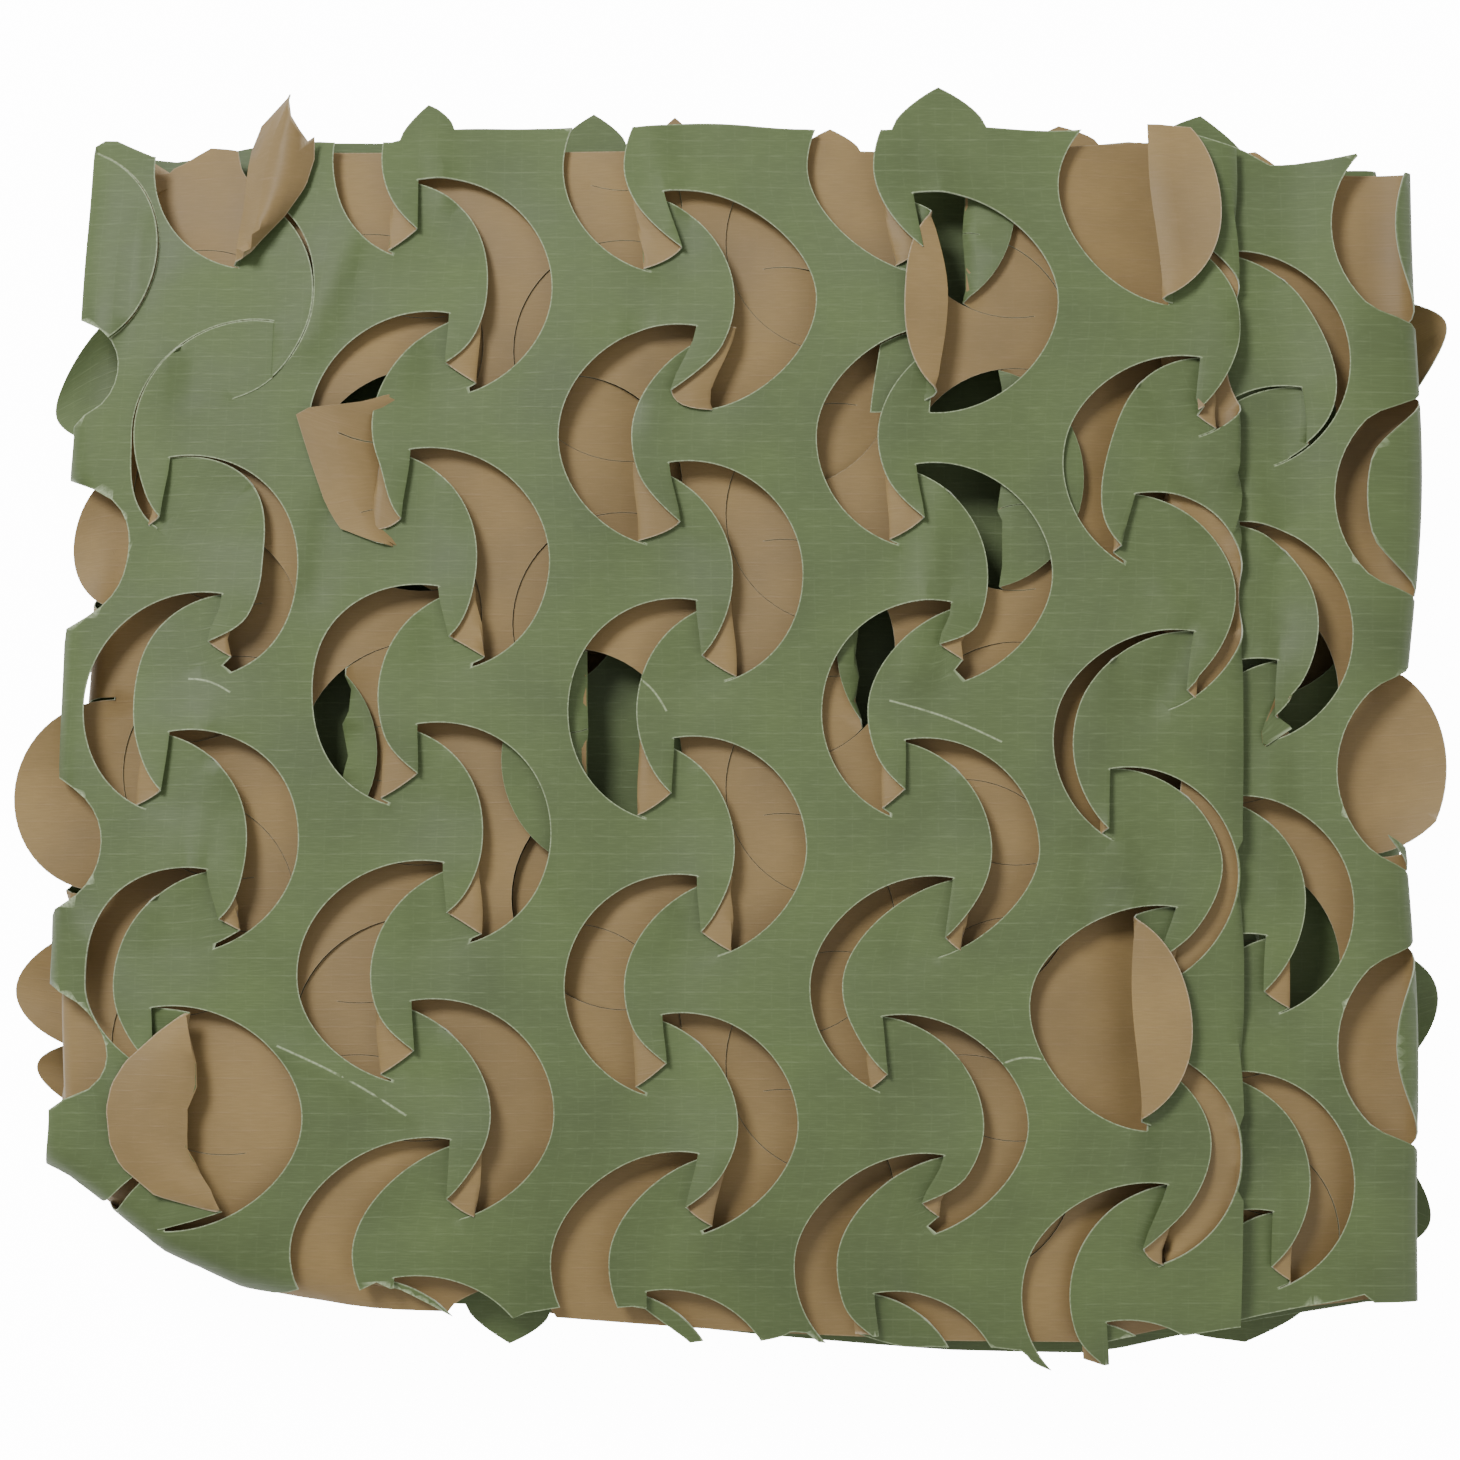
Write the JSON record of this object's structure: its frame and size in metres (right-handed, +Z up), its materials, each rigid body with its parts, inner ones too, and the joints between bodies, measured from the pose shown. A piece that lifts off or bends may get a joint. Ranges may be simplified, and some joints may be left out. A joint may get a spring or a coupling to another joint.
{
  "type": "folded camouflage net",
  "caption": "Leaf-cut camouflage cloth net, green on one side and brown on the other, folded back and forth into a square pad.",
  "frame": {"origin": "centre of the bounding box in plan, on the ground under the pad", "axes": "+Z up out of the face, +X across the folds, +Y along the folds towards the upper cut edge"},
  "size_m": [0.4222, 0.3808, 0.0792],
  "materials": {
    "cloth": "dull proofed ripstop weave, olive green on the face and tan brown on the back, with pale frayed cut edges"
  },
  "bodies": {
    "root": {"net": "cloth"}
  },
  "joints": []
}
